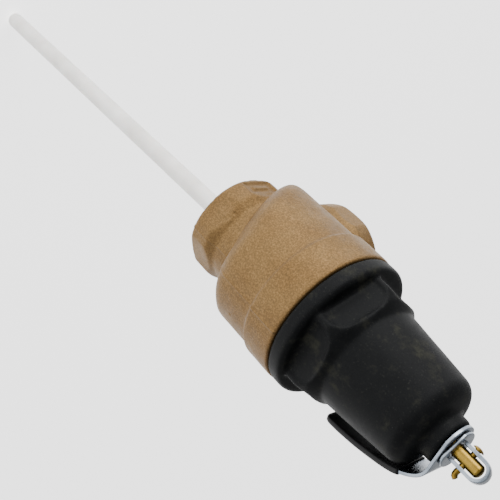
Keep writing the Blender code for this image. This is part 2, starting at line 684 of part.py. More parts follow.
def bonnet():
    bush_bore = BUSH_RADIUS + SLIDE_GAP
    shell = piece("bonnet", turned([
        (0.0, NECK_END), *bonnet_outside(), (0.0, SPIGOT_BOTTOM)], FINE), BLACK_POLYMER)

    flange_top = JOINT_HEIGHT + SEAT_GAP + FLANGE_THICKNESS
    rounding = turned([
        (0.0, HEX_TOP + 3.0 * MM), (TAPER_BOTTOM_RADIUS - 0.8 * MM, HEX_TOP + 3.0 * MM),
        (HEX_ROUND - 2.2 * MM, HEX_TOP - 1.0 * MM), (HEX_ROUND, HEX_TOP - 5.0 * MM),
        (HEX_ROUND, flange_top - 1.0 * MM), (0.0, flange_top - 1.0 * MM)], FINE)
    hexagon = tool("bonnet_hexagon", rounding)
    boolean(hexagon, tool("bonnet_flats", prism(
        HEX_FLATS, HEX_CORNER_AZIMUTH, flange_top - 2.0 * MM, HEX_TOP + 4.0 * MM)), "INTERSECT")
    boolean(shell, hexagon, "UNION")

    for i in range(6):
        shell_panel(shell, i, flange_top)

    cut(shell, "spring_room", bored([
        (0.0, NECK_END + 1.0 * MM), (bush_bore, NECK_END + 1.0 * MM),
        (bush_bore, crown_inside()), (SPRING_ROOM_RADIUS, crown_inside()),
        (SPRING_ROOM_RADIUS, SPRING_ROOM_BOTTOM), (SPIGOT_INNER, SPRING_ROOM_BOTTOM - 5.0 * MM),
        (SPIGOT_INNER, SPIGOT_BOTTOM - 1.0 * MM), (0.0, SPIGOT_BOTTOM - 1.0 * MM)]))

    bottom = bush_bottom()
    piece("stem_bush", ring(STEM_TIP_RADIUS + SLIDE_GAP, BUSH_RADIUS, bottom, NECK_END - SEAT_GAP,
                            COARSE), BRASS)


def shell_panel(shell, index, flange_top):
    """Shallow panel with round lower corners, sunk into one of the bonnet's flats."""
    half = PANEL_WIDTH / 2
    low = flange_top + PANEL_MARGIN
    high = HEX_TOP - PANEL_MARGIN
    corner = PANEL_ROUND
    outline = [(-half, low), (half, low), *arc((half - corner, high - corner), corner, 0, 90, 4),
               *arc((corner - half, high - corner), corner, 90, 180, 4)]
    azimuth = HEX_CORNER_AZIMUTH + math.pi / 6 + math.tau / 6 * index
    out = (math.cos(azimuth), math.sin(azimuth), 0.0)
    side = (-math.sin(azimuth), math.cos(azimuth), 0.0)
    face = HEX_FLATS / 2
    cut(shell, f"bonnet_panel_{index}", extruded(
        outline, face - PANEL_DEPTH, face + 1.5 * MM, (side, (0, 0, 1), out)))


# ---------------------------------------------------------------- lever, saddle, bail and pin

def eye_bottom():
    return NECK_END + SEAT_GAP


def lever_path():
    """Middle line of the lever's strip in the (y, z) plane, from the heel to the arm's tip."""
    flat = eye_bottom() + LEVER_THICKNESS / 2
    return [(HEEL, flat), *[(-reach, flat - drop) for reach, drop in LEVER_BEND]]


def sideways(shape):
    """Stands a shape made in the (y, z) plane at the lever's hinge."""
    bmesh.ops.translate(shape, vec=(0.0, -HEEL, -eye_bottom()), verts=shape.verts)
    return shape


LEVER_AXES = ((0, 1, 0), (0, 0, 1), (1, 0, 0))


def lever():
    hinge = bpy.data.objects.new("lever_hinge", None)
    hinge.location = (0.0, HEEL, eye_bottom())
    PARTS.objects.link(hinge)

    path = lever_path()
    half = LEVER_THICKNESS / 2
    strip = piece("lever", sideways(extruded(
        strip_outline(path, -half, half), -LEVER_HALF_WIDTH, LEVER_HALF_WIDTH, LEVER_AXES)), ZINC)
    strip.parent = hinge
    low = path[-1][1] - 2.0 * MM
    high = eye_bottom() + LEVER_THICKNESS + 1.0 * MM
    plan = [(-LEVER_HALF_WIDTH, -30.0 * MM), (LEVER_HALF_WIDTH, -30.0 * MM)]
    spread = math.degrees(math.asin(LEVER_HALF_WIDTH / EYE_RADIUS))
    plan += arc((0.0, 0.0), EYE_RADIUS, 90.0 - spread, 90.0 + spread, 10)
    eye = extruded(plan, low, high, ((1, 0, 0), (0, 1, 0), (0, 0, 1)))
    trim = tool("lever_plan", sideways(eye))
    trim.parent = hinge
    boolean(strip, trim, "INTERSECT")
    slot_half = STEM_TIP_RADIUS + EYE_SLOT_PLAY
    slot = cylinder(slot_half, eye_bottom() - 1.0 * MM, high, 24)
    bmesh.ops.scale(slot, vec=(1.0, 1.0 + EYE_SLOT_ROOM / slot_half, 1.0), verts=slot.verts)
    hole = tool("lever_slot", sideways(slot))
    hole.parent = hinge
    boolean(strip, hole, "DIFFERENCE")

    arm = grip_path(path)
    inner = half + GRIP_PLAY
    outer = inner + GRIP_WALL
    end = Vector(arm[-1])
    run = (end - Vector(arm[-2])).normalized()
    longer = arm[:-1] + [tuple(end + run * (GRIP_PLAY + GRIP_WALL))]
    inside = arm[:-1] + [tuple(end + run * GRIP_PLAY)]
    start = Vector(arm[0])
    back = (start - Vector(arm[1])).normalized()
    inside = [tuple(start + back * 1.0 * MM)] + inside
    side = LEVER_HALF_WIDTH + GRIP_PLAY
    sleeve = piece("lever_grip", sideways(extruded(
        strip_outline(longer, -outer, outer), -side - GRIP_WALL, side + GRIP_WALL, LEVER_AXES)),
        BLACK_VINYL)
    sleeve.parent = hinge
    pocket = tool("grip_pocket", sideways(extruded(
        strip_outline(inside, -inner, inner), -side, side, LEVER_AXES)))
    pocket.parent = hinge
    boolean(sleeve, pocket, "DIFFERENCE")


def grip_path(path):
    """The part of the lever's middle line that the grip covers."""
    for i in range(1, len(path)):
        above, below = Vector(path[i - 1]), Vector(path[i])
        if below.y < GRIP_START <= above.y:
            share = (above.y - GRIP_START) / (above.y - below.y)
            return [tuple(above.lerp(below, share))] + path[i:]
    return path[1:]


def across_pin(shape):
    """Turns an upright shape to lie along the cross pin."""
    bmesh.ops.rotate(shape, cent=(0, 0, 0), verts=shape.verts,
                     matrix=Matrix.Rotation(math.pi / 2, 3, "Y"))
    bmesh.ops.rotate(shape, cent=(0, 0, 0), verts=shape.verts,
                     matrix=Matrix.Rotation(PIN_AZIMUTH, 3, "Z"))
    bmesh.ops.translate(shape, vec=(0, 0, PIN_HEIGHT), verts=shape.verts)
    return shape


def pin_axes():
    along = (math.cos(PIN_AZIMUTH), math.sin(PIN_AZIMUTH), 0.0)
    across = (-math.sin(PIN_AZIMUTH), math.cos(PIN_AZIMUTH), 0.0)
    return along, across


def saddle_and_bail():
    low = eye_bottom() + LEVER_THICKNESS + SEAT_GAP
    high = low + SADDLE_THICKNESS
    along, across = pin_axes()
    spread = math.degrees(math.asin(SADDLE_HALF_WIDTH / SADDLE_RADIUS))
    outline = arc((0.0, 0.0), SADDLE_RADIUS, -spread, spread, 8)
    outline += arc((0.0, 0.0), SADDLE_RADIUS, 180.0 - spread, 180.0 + spread, 8)
    saddle = piece("saddle_washer", extruded(outline, low, high, (along, across, (0, 0, 1))), ZINC)
    cut(saddle, "saddle_hole", cylinder(STEM_TIP_RADIUS + SLIDE_GAP, low - 1.0 * MM,
                                        high + 1.0 * MM, 24))

    foot = high + SEAT_GAP
    centre = BAIL_TOP - BAIL_HALF_SPAN
    inner = BAIL_HALF_SPAN - BAIL_THICKNESS
    outside = [(-BAIL_HALF_SPAN, foot), *arc((0.0, centre), BAIL_HALF_SPAN, 180.0, 0.0, 14),
               (BAIL_HALF_SPAN, foot)]
    inside = [(inner, foot), *arc((0.0, centre), inner, 0.0, 180.0, 14), (-inner, foot)]
    half = BAIL_WIDTH / 2
    bail = piece("bail", extruded(outside + inside, -half, half, (along, (0, 0, 1), across)), ZINC)
    cut(bail, "bail_pin_holes", across_pin(cylinder(
        PIN_RADIUS + SLIDE_GAP, -8.0 * MM, 8.0 * MM, 20)))

    head = BAIL_HALF_SPAN + SEAT_GAP
    tail = -BAIL_HALF_SPAN - PIN_TAIL
    piece("cross_pin", across_pin(turned([
        (0.0, head + PIN_HEAD_THICKNESS), (PIN_HEAD_RADIUS * 0.7, head + PIN_HEAD_THICKNESS),
        (PIN_HEAD_RADIUS, head + PIN_HEAD_THICKNESS * 0.5), (PIN_HEAD_RADIUS, head),
        (PIN_RADIUS, head), (PIN_RADIUS, tail), (PIN_RADIUS * 0.8, tail - 0.3 * MM),
        (0.0, tail - 0.3 * MM)], 20)), BRASS)


clear_scene()
PARTS = new_collection("relief_valve")
TOOLS = new_collection("tools")
BRONZE = material("shot_blasted_bronze", (0.42, 0.25, 0.11), 0.55, 0.9)
WHITE_POLYMER = material("white_polymer", (0.72, 0.71, 0.68), 0.45)
BLACK_POLYMER = material("black_moulding", (0.018, 0.019, 0.021), 0.6)
BLACK_VINYL = material("black_vinyl", (0.012, 0.012, 0.013), 0.5)
BRASS = material("turned_brass", (0.6, 0.42, 0.15), 0.35, 1.0)
COPPER = material("copper_tube", (0.7, 0.3, 0.18), 0.35, 1.0)
STEEL = material("spring_steel", (0.32, 0.32, 0.33), 0.35, 1.0)
ZINC = material("zinc_plated_steel", (0.62, 0.64, 0.66), 0.28, 1.0)
RUBBER = material("black_rubber", (0.02, 0.02, 0.02), 0.8)
WAX = material("thermostat_wax", (0.75, 0.68, 0.5), 0.6)

valve_body()
PROBE_LINE = probe_line()
thermostat()
disc_and_stem()
spring_and_plate()
bonnet()
lever()
saddle_and_bail()
bpy.context.view_layer.update()
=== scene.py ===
"""Water heater relief valve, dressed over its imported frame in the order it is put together."""
import math

import bmesh
import bpy
import numpy as np
from mathutils import Matrix, Vector, noise


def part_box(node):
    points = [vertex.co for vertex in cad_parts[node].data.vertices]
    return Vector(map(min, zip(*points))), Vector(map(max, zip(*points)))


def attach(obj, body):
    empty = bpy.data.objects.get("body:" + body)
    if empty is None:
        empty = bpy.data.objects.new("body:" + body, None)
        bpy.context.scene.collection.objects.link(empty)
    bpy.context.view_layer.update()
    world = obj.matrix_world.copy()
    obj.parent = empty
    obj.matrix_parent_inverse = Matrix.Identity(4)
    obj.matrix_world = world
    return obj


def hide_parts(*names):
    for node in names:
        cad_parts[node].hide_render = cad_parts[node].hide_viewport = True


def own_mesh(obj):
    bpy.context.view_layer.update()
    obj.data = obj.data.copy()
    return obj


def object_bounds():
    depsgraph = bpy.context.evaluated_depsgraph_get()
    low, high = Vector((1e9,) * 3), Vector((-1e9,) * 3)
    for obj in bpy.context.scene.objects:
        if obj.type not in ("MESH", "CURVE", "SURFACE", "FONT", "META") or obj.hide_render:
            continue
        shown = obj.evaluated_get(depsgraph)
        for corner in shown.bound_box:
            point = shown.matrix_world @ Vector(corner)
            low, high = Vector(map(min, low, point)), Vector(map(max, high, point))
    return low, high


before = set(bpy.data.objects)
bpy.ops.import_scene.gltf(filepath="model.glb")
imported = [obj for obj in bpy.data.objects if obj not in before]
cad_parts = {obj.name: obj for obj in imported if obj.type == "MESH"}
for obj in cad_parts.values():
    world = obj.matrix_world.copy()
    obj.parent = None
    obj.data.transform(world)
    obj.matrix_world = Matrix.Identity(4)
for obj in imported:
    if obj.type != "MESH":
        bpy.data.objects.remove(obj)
cad_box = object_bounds()

# Bronze body. One gunmetal casting with two wrench collars, a drum and a ring for the bonnet,
# left as it comes from the shot blaster, with its ports, seat and joint face bored and faced.
# The two halves of the mould leave a thin ridge in the plane of both ports.
MM = 0.001
body_low, body_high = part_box("valve_body")
ring_radius = -body_low.x
joint_height = body_high.z
outlet_reach = body_high.x
outlet_height = 25.0 * MM
port_radius = 12.1 * MM
waist_radius = 16.8 * MM
drum_radius = 24.6 * MM
drum_front = 26.8 * MM
ring_bottom = 41.0 * MM
casting_grid = 0.4 * MM


def thing(name, shape):
    """Puts a bmesh into the scene as an object."""
    mesh = bpy.data.meshes.new(name)
    shape.to_mesh(mesh)
    shape.free()
    made = bpy.data.objects.new(name, mesh)
    bpy.context.scene.collection.objects.link(made)
    return made


def turned(profile, sides=128, start=0.0):
    """Solid turned about Z from (radius, height) points; an open profile starts and ends on Z."""
    shape = bmesh.new()
    points = [shape.verts.new((r * math.cos(start), r * math.sin(start), z)) for r, z in profile]
    edges = [shape.edges.new(pair) for pair in zip(points, points[1:])]
    if profile[0][0] > 0.0:
        edges.append(shape.edges.new((points[-1], points[0])))
    bmesh.ops.spin(shape, geom=points + edges, axis=(0, 0, 1), cent=(0, 0, 0),
                   steps=sides, angle=math.tau, use_duplicate=False)
    bmesh.ops.remove_doubles(shape, verts=shape.verts, dist=0.001 * MM)
    bmesh.ops.dissolve_degenerate(shape, edges=shape.edges, dist=0.001 * MM)
    bmesh.ops.recalc_face_normals(shape, faces=shape.faces)
    return shape


def arc(centre, radius, start, end, steps):
    """Points of an arc from one angle to another, in degrees."""
    turns = [math.radians(start + (end - start) * i / steps) for i in range(steps + 1)]
    return [(centre[0] + radius * math.cos(a), centre[1] + radius * math.sin(a)) for a in turns]


def hexagon(flats, corner, bottom, top):
    """Upright hexagonal bar with a corner at an azimuth."""
    shape = bmesh.new()
    radius = flats / 2 / math.cos(math.pi / 6)
    turns = [corner + math.tau * i / 6 for i in range(6)]
    low = [shape.verts.new((radius * math.cos(a), radius * math.sin(a), bottom)) for a in turns]
    face = shape.faces.new(low)
    grown = bmesh.ops.extrude_face_region(shape, geom=[face])["geom"]
    raised = [item for item in grown if isinstance(item, bmesh.types.BMVert)]
    bmesh.ops.translate(shape, vec=(0, 0, top - bottom), verts=raised)
    bmesh.ops.recalc_face_normals(shape, faces=shape.faces)
    return shape


def moved(shape, matrix):
    """Turns and shifts a bmesh."""
    bmesh.ops.transform(shape, matrix=matrix, verts=shape.verts)
    return shape


def settle(piece):
    """Keeps the result of a piece's modifiers as its mesh."""
    seen = piece.evaluated_get(bpy.context.evaluated_depsgraph_get())
    mesh = bpy.data.meshes.new_from_object(seen)
    piece.modifiers.clear()
    piece.data = mesh


def carve(piece, shape, operation="DIFFERENCE"):
    """Cuts a piece with a shape, or keeps only what the two share, and removes the shape."""
    tool = thing("tool", shape)
    modifier = piece.modifiers.new("carve", "BOOLEAN")
    modifier.operation = operation
    modifier.object = tool
    modifier.solver = "EXACT"
    settle(piece)
    bpy.data.objects.remove(tool, do_unlink=True)


def gather(name, pieces):
    """Joins overlapping solids into one object."""
    shape = bmesh.new()
    for piece in pieces:
        shape.from_mesh(piece.data)
        bpy.data.objects.remove(piece, do_unlink=True)
    return thing(name, shape)


def recast(piece, grid, rounds):
    """Melts overlapping solids into one skin and rounds its edges, as a mould does."""
    remesh = piece.modifiers.new("one_skin", "REMESH")
    remesh.mode = "VOXEL"
    remesh.voxel_size = grid
    settle(piece)
    relax(piece, rounds)


def relax(piece, rounds, keep=None):
    """Smooths a fine mesh; keep holds 1 where a machined face stays sharp."""
    mesh = piece.data
    count = len(mesh.vertices)
    points = np.zeros(count * 3)
    mesh.vertices.foreach_get("co", points)
    points = points.reshape(-1, 3)
    ends = np.zeros(len(mesh.edges) * 2, np.int64)
    mesh.edges.foreach_get("vertices", ends)
    first, second = ends[0::2], ends[1::2]
    number = np.bincount(ends, minlength=count)[:, None]
    for _ in range(rounds):
        near = np.zeros_like(points)
        for axis in range(3):
            near[:, axis] = (np.bincount(first, points[second, axis], count)
                             + np.bincount(second, points[first, axis], count))
        step = (near / number - points) * 0.5
        points += step if keep is None else step * (1.0 - keep[:, None])
    mesh.vertices.foreach_set("co", points.ravel())
    mesh.update()


def points_and_normals(piece):
    """A mesh's points and normals as two arrays."""
    count = len(piece.data.vertices)
    points, normals = np.zeros(count * 3), np.zeros(count * 3)
    piece.data.vertices.foreach_get("co", points)
    piece.data.vertex_normals.foreach_get("vector", normals)
    return points.reshape(-1, 3), normals.reshape(-1, 3)


def swell(piece, heights):
    """Moves each point of a fine mesh out along its normal."""
    points, normals = points_and_normals(piece)
    points += normals * heights[:, None]
    piece.data.vertices.foreach_set("co", points.ravel())
    piece.data.update()


def within(distance, soft):
    """1 inside a border and 0 outside it, with a soft step; distance is negative inside."""
    share = np.clip(0.5 - distance / soft, 0.0, 1.0)
    return share * share * (3.0 - 2.0 * share)


shoulder_height = 7.0 * MM
shoulder = [(drum_radius, drum_front + 1.0 * MM),
            *[(waist_radius + (drum_radius - waist_radius) * math.cos(a),
               drum_front - shoulder_height * math.sin(a))
              for a in (math.pi / 2 * i / 7 for i in range(8))]]
core = turned([(0.0, joint_height), (ring_radius - 0.5 * MM, joint_height),
               (ring_radius, joint_height - 0.5 * MM), (ring_radius, ring_bottom + 0.5 * MM),
               (ring_radius - 0.5 * MM, ring_bottom), (drum_radius, ring_bottom - 0.2 * MM),
               *shoulder, (waist_radius, 1.2 * MM), (0.0, 1.2 * MM)], 160)
fall_start, fall_slope, fall_limit = 5.0 * MM, 0.49, 13.4 * MM
for point in core.verts:
    if shoulder[-1][1] - 0.1 * MM < point.co.z < shoulder[0][1] + 0.1 * MM:
        fall = min(max(point.co.x - fall_start + drum_radius, 0.0) * fall_slope, fall_limit)
        point.co.z = max(point.co.z - fall, 1.7 * MM)
core = thing("core", core)

inlet_collar = thing("inlet_collar", turned([
    (0.0, 11.6 * MM), (waist_radius + 0.1 * MM, 11.6 * MM), (18.7 * MM, 8.2 * MM),
    (18.7 * MM, 1.0 * MM), (17.7 * MM, 0.0), (0.0, 0.0)]))
carve(inlet_collar, hexagon(35.2 * MM, 0.0, -1.0 * MM, 13.0 * MM), "INTERSECT")

sideways = Matrix.Translation((outlet_reach, 0, outlet_height)) @ Matrix.Rotation(-math.pi / 2, 4, "Y")
outlet_neck = thing("outlet_neck", moved(turned([
    (0.0, outlet_reach), (17.6 * MM, outlet_reach), (17.6 * MM, 1.0 * MM), (0.0, 1.0 * MM)]), sideways))
outlet_collar = thing("outlet_collar", moved(turned([
    (0.0, 10.0 * MM), (17.9 * MM, 10.0 * MM), (19.6 * MM, 7.6 * MM), (19.6 * MM, 1.0 * MM),
    (18.6 * MM, 0.0), (0.0, 0.0)]), sideways))
carve(outlet_collar, moved(hexagon(37.6 * MM, 0.0, -1.0 * MM, 12.0 * MM), sideways), "INTERSECT")

bore_turn = math.radians(1.3)
mouth = [(0.0, -1.0 * MM), (12.9 * MM, -1.0 * MM), (12.9 * MM, 0.0), (port_radius, 0.8 * MM)]
bores = [[*mouth, (port_radius, 15.0 * MM), (11.0 * MM, 15.0 * MM), (11.0 * MM, 21.0 * MM),
          (9.0 * MM, 21.0 * MM), (9.0 * MM, 33.0 * MM), (10.2 * MM, 33.0 * MM),
          (12.4 * MM, 31.0 * MM), (12.4 * MM, 27.0 * MM), (20.6 * MM, 27.0 * MM),
          (20.6 * MM, 45.5 * MM), (22.3 * MM, 45.5 * MM), (22.3 * MM, 54.4 * MM),
          (0.0, 54.4 * MM)],
         [*mouth, (port_radius, 15.0 * MM), (0.0, 15.0 * MM)]]
for solid in (core, inlet_collar, outlet_neck, outlet_collar):
    carve(solid, turned(bores[0], 96, bore_turn))
    carve(solid, moved(turned(bores[1], 96, bore_turn), sideways))
bronze_body = gather("bronze_body", [core, inlet_collar, outlet_neck, outlet_collar])
recast(bronze_body, casting_grid, 2)

points, normals = points_and_normals(bronze_body)
x, y, z = points.T
radius = np.hypot(x, y)
from_outlet = np.hypot(y, z - outlet_height)
bored = np.maximum.reduce([
    within(radius - (port_radius + 1.0 * MM), 0.4 * MM) * within(z - 22.0 * MM, 0.4 * MM),
    within(from_outlet - (port_radius + 1.0 * MM), 0.4 * MM) * within(13.0 * MM - x, 0.4 * MM),
    within(radius - 22.8 * MM, 0.4 * MM) * within(26.0 * MM - z, 0.4 * MM)])
faced = np.maximum.reduce([within(z - 0.25 * MM, 0.3 * MM),
                           within(outlet_reach - 0.25 * MM - x, 0.3 * MM),
                           within(joint_height - 0.3 * MM - z, 0.3 * MM)])
step = within(np.abs(z - ring_bottom) - 1.2 * MM, 0.6 * MM) * 0.45
relax(bronze_body, 3, np.maximum.reduce([bored * 0.95, faced * 0.8, step]))

points, normals = points_and_normals(bronze_body)
x, y, z = points.T
cast = 1.0 - np.maximum(bored, faced)
uneven = np.array([noise.noise(Vector(p) / (6.0 * MM)) + 0.5 * noise.noise(Vector(p) / (2.2 * MM))
                   for p in points])
ridge = within(np.abs(y) - 0.28 * MM, 0.5 * MM) * within(16.0 * MM - radius, 1.0 * MM)
pad = (within(np.abs(x) - 5.9 * MM, 0.3 * MM) * within(np.abs(z - 4.3 * MM) - 2.7 * MM, 0.3 * MM)
       * within(16.0 * MM - y, 1.0 * MM))
bar = within(np.abs(x) - 3.4 * MM, 0.3 * MM) * within(np.abs(z - 4.3 * MM) - 0.8 * MM, 0.3 * MM)
pits = np.zeros(len(points))
for azimuth, height, size in ((146, 9.6, 0.7), (139, 10.2, 0.5), (205, 33.0, 0.5), (150, 8.6, 0.4)):
    spot = Vector((math.cos(math.radians(azimuth)), math.sin(math.radians(azimuth)), 0.0))
    away = np.hypot(np.abs(x * spot.y - y * spot.x), z - height * MM)
    pits += within(away - size * MM, 0.7 * MM) * (x * spot.x + y * spot.y > 0.0)
swell(bronze_body, cast * (uneven * 0.035 * MM + ridge * 0.22 * MM - pad * (1.0 - bar * 0.85) * 0.6 * MM
                           - pits * 0.22 * MM) - 0.01 * MM)
bronze_body.data.shade_smooth()


def colour(code):
    """Linear colour from an sRGB hex value."""
    parts = [int(code[i:i + 2], 16) / 255.0 for i in (1, 3, 5)]
    return (*[c / 12.92 if c <= 0.04045 else ((c + 0.055) / 1.055) ** 2.4 for c in parts], 1.0)


def add(tree, kind, settings, sockets, stops=()):
    """Adds a node: sockets take values or other nodes' outputs, stops are a ramp's (place, hex)."""
    made = tree.nodes.new("ShaderNode" + kind)
    for name, value in settings.items():
        setattr(made, name, value)
    for name, value in sockets.items():
        if isinstance(value, bpy.types.NodeSocket):
            tree.links.new(value, made.inputs[name])
        else:
            made.inputs[name].default_value = value
    for _ in stops[2:]:
        made.color_ramp.elements.new(0.5)
    for i, (place, code) in enumerate(stops):
        made.color_ramp.elements[i].position = place
        made.color_ramp.elements[i].color = colour(code)
    return made


def shot_blasted_gunmetal():
    """Gunmetal as the shot blaster leaves it: dull tan, an even fine dimpling, and no shine."""
    made = bpy.data.materials.new("shot_blasted_gunmetal")
    made.use_nodes = True
    tree = made.node_tree
    place = add(tree, "TexCoord", {}, {}).outputs["Object"]
    # dimples of 0.35 mm, drawn at 0.55 mm so that they show, patches of 4 mm where the blast was
    # uneven, and stains of 14 mm
    dimples = add(tree, "TexNoise", {}, {"Vector": place, "Scale": 1 / (0.55 * MM), "Detail": 3.0,
                                         "Roughness": 0.6}).outputs["Fac"]
    patches = add(tree, "TexNoise", {}, {"Vector": place, "Scale": 1 / (4.0 * MM), "Detail": 4.0,
                                         "Roughness": 0.65}).outputs["Fac"]
    stains = add(tree, "TexNoise", {}, {"Vector": place, "Scale": 1 / (14.0 * MM),
                                        "Detail": 2.0}).outputs["Fac"]
    grain = add(tree, "ValToRGB", {}, {"Fac": dimples},
                [(0.33, "#503F24"), (0.5, "#6C532F"), (0.67, "#8B6D44")]).outputs["Color"]
    broad = add(tree, "ValToRGB", {}, {"Fac": patches}, [(0.3, "#634B2A"), (0.7, "#765B36")]).outputs["Color"]
    mixed = add(tree, "Mix", {"data_type": "RGBA"},
                {"Factor": 0.42, "A": grain, "B": broad}).outputs["Result"]
    dull = add(tree, "ValToRGB", {}, {"Fac": stains}, [(0.4, "#FFFFFF"), (0.75, "#DCD2C0")]).outputs["Color"]
    toned = add(tree, "Mix", {"data_type": "RGBA", "blend_type": "MULTIPLY"},
                {"Factor": 0.8, "A": mixed, "B": dull}).outputs["Result"]
    height = add(tree, "Math", {"operation": "MULTIPLY_ADD"}, {0: patches, 1: 0.6, 2: dimples}).outputs[0]
    bump = add(tree, "Bump", {}, {"Strength": 0.85, "Distance": 0.11 * MM,
                                  "Height": height}).outputs["Normal"]
    wear = add(tree, "MapRange", {}, {"Value": patches, "From Min": 0.3, "From Max": 0.7,
                                      "To Min": 0.5, "To Max": 0.68}).outputs["Result"]
    shader = tree.nodes["Principled BSDF"]
    shader.inputs["Metallic"].default_value = 0.75
    tree.links.new(toned, shader.inputs["Base Color"])
    tree.links.new(wear, shader.inputs["Roughness"])
    tree.links.new(bump, shader.inputs["Normal"])
    return made


bronze_body.data.materials.clear()
bronze_body.data.materials.append(shot_blasted_gunmetal())
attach(bronze_body, "valve")
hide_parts("valve_body")

# Thermostat. A copper tube of wax hangs from a brass holder in the inlet, under a sleeve of white
# polymer that keeps the tank's water off it. It hangs two degrees off the valve's line, and a steel
# rod runs up its middle to push the disc off its seat when the wax swells.
probe_radius = 3.35 * MM
probe_tip = -170.5 * MM
hang_point = 18.95 * MM
lean_way = math.radians(235.0)
lean_axis = Vector((-math.sin(lean_way), math.cos(lean_way), 0.0))
leaning = (Matrix.Translation((0, 0, hang_point)) @ Matrix.Rotation(math.radians(-2.1), 4, lean_axis)
           @ Matrix.Translation((0, 0, -hang_point)))
inner_radius = probe_radius - 0.5 * MM
outer_tip = arc((0.0, probe_tip + probe_radius), probe_radius, 0.0, -90.0, 10)
inner_tip = arc((0.0, probe_tip + probe_radius), inner_radius, -90.0, 0.0, 8)
probe_sleeve = thing("probe_sleeve", moved(turned(
    [(0.0, probe_tip + 0.5 * MM), *inner_tip[1:], (inner_radius, 15.9 * MM),
     (probe_radius - 0.15 * MM, 16.0 * MM), (probe_radius, 15.8 * MM),
     *[(probe_radius, 15.8 * MM - 12.0 * MM * i) for i in range(1, 15)],
     *outer_tip[:-1], (0.0, probe_tip)], 48), leaning))
points, normals = points_and_normals(probe_sleeve)
swell(probe_sleeve, np.array([noise.noise(Vector(p) / (18.0 * MM)) * 0.03 * MM for p in points]))
probe_sleeve.data.shade_smooth()


def satin_white_polymer():
    """White polymer sleeve drawn over the tube: satin, a little grey, with faint handling marks."""
    made = bpy.data.materials.new("satin_white_polymer")
    made.use_nodes = True
    tree = made.node_tree
    place = add(tree, "TexCoord", {}, {}).outputs["Object"]
    # cloudy patches of 9 mm and a fine skin of 0.6 mm, coarser than the real one so that it shows
    clouds = add(tree, "TexNoise", {}, {"Vector": place, "Scale": 1 / (9.0 * MM),
                                        "Detail": 4.0}).outputs["Fac"]
    skin = add(tree, "TexNoise", {}, {"Vector": place, "Scale": 1 / (0.6 * MM), "Detail": 2.0}).outputs["Fac"]
    tone = add(tree, "ValToRGB", {}, {"Fac": clouds},
               [(0.3, "#D8D4CE"), (0.55, "#E6E3DE"), (0.75, "#EFEDE9")]).outputs["Color"]
    bump = add(tree, "Bump", {}, {"Strength": 0.25, "Distance": 0.04 * MM, "Height": skin}).outputs["Normal"]
    gloss = add(tree, "MapRange", {}, {"Value": clouds, "From Min": 0.3, "From Max": 0.7,
                                       "To Min": 0.38, "To Max": 0.5}).outputs["Result"]
    shader = tree.nodes["Principled BSDF"]
    shader.inputs["IOR"].default_value = 1.5
    shader.inputs["Subsurface Weight"].default_value = 0.08
    shader.inputs["Subsurface Scale"].default_value = 1.0 * MM
    tree.links.new(tone, shader.inputs["Base Color"])
    tree.links.new(gloss, shader.inputs["Roughness"])
    tree.links.new(bump, shader.inputs["Normal"])
    return made


def metal(name, dark, light, grain, roughness, depth, stretch):
    """Bare metal with its working marks: grain is their spacing, stretch how much longer they run."""
    made = bpy.data.materials.new(name)
    made.use_nodes = True
    tree = made.node_tree
    place = add(tree, "TexCoord", {}, {}).outputs["Object"]
    drawn = add(tree, "Mapping", {}, {"Vector": place, "Scale": stretch}).outputs["Vector"]
    marks = add(tree, "TexNoise", {}, {"Vector": drawn, "Scale": 1 / grain, "Detail": 3.0}).outputs["Fac"]
    tarnish = add(tree, "TexNoise", {}, {"Vector": place, "Scale": 1 / (5.0 * MM),
                                         "Detail": 4.0}).outputs["Fac"]
    tone = add(tree, "ValToRGB", {}, {"Fac": tarnish}, [(0.35, dark), (0.65, light)]).outputs["Color"]
    rough = add(tree, "MapRange", {}, {"Value": marks, "From Min": 0.3, "From Max": 0.7,
                                       "To Min": roughness * 0.75,
                                       "To Max": roughness * 1.3}).outputs["Result"]
    bump = add(tree, "Bump", {}, {"Strength": 0.5, "Distance": depth, "Height": marks}).outputs["Normal"]
    shader = tree.nodes["Principled BSDF"]
    shader.inputs["Metallic"].default_value = 1.0
    tree.links.new(tone, shader.inputs["Base Color"])
    tree.links.new(rough, shader.inputs["Roughness"])
    tree.links.new(bump, shader.inputs["Normal"])
    return made


def dull(name, dark, light, grain, roughness, depth, ior):
    """Rubber, wax or a moulding: matt, with soft mottling and a fine skin."""
    made = bpy.data.materials.new(name)
    made.use_nodes = True
    tree = made.node_tree
    place = add(tree, "TexCoord", {}, {}).outputs["Object"]
    skin = add(tree, "TexNoise", {}, {"Vector": place, "Scale": 1 / grain, "Detail": 3.0}).outputs["Fac"]
    mottle = add(tree, "TexNoise", {}, {"Vector": place, "Scale": 1 / (6.0 * MM),
                                        "Detail": 5.0}).outputs["Fac"]
    tone = add(tree, "ValToRGB", {}, {"Fac": mottle}, [(0.35, dark), (0.68, light)]).outputs["Color"]
    rough = add(tree, "MapRange", {}, {"Value": mottle, "From Min": 0.3, "From Max": 0.7,
                                       "To Min": roughness * 0.9,
                                       "To Max": roughness * 1.12}).outputs["Result"]
    bump = add(tree, "Bump", {}, {"Strength": 0.5, "Distance": depth, "Height": skin}).outputs["Normal"]
    shader = tree.nodes["Principled BSDF"]
    shader.inputs["IOR"].default_value = ior
    tree.links.new(tone, shader.inputs["Base Color"])
    tree.links.new(rough, shader.inputs["Roughness"])
    tree.links.new(bump, shader.inputs["Normal"])
    return made


def dress(material, *names):
    """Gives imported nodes, which keep their shape, a finish."""
    for name in names:
        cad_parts[name].data.materials.clear()
        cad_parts[name].data.materials.append(material)


probe_sleeve.data.materials.append(satin_white_polymer())
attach(probe_sleeve, "valve")
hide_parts("probe_coating")
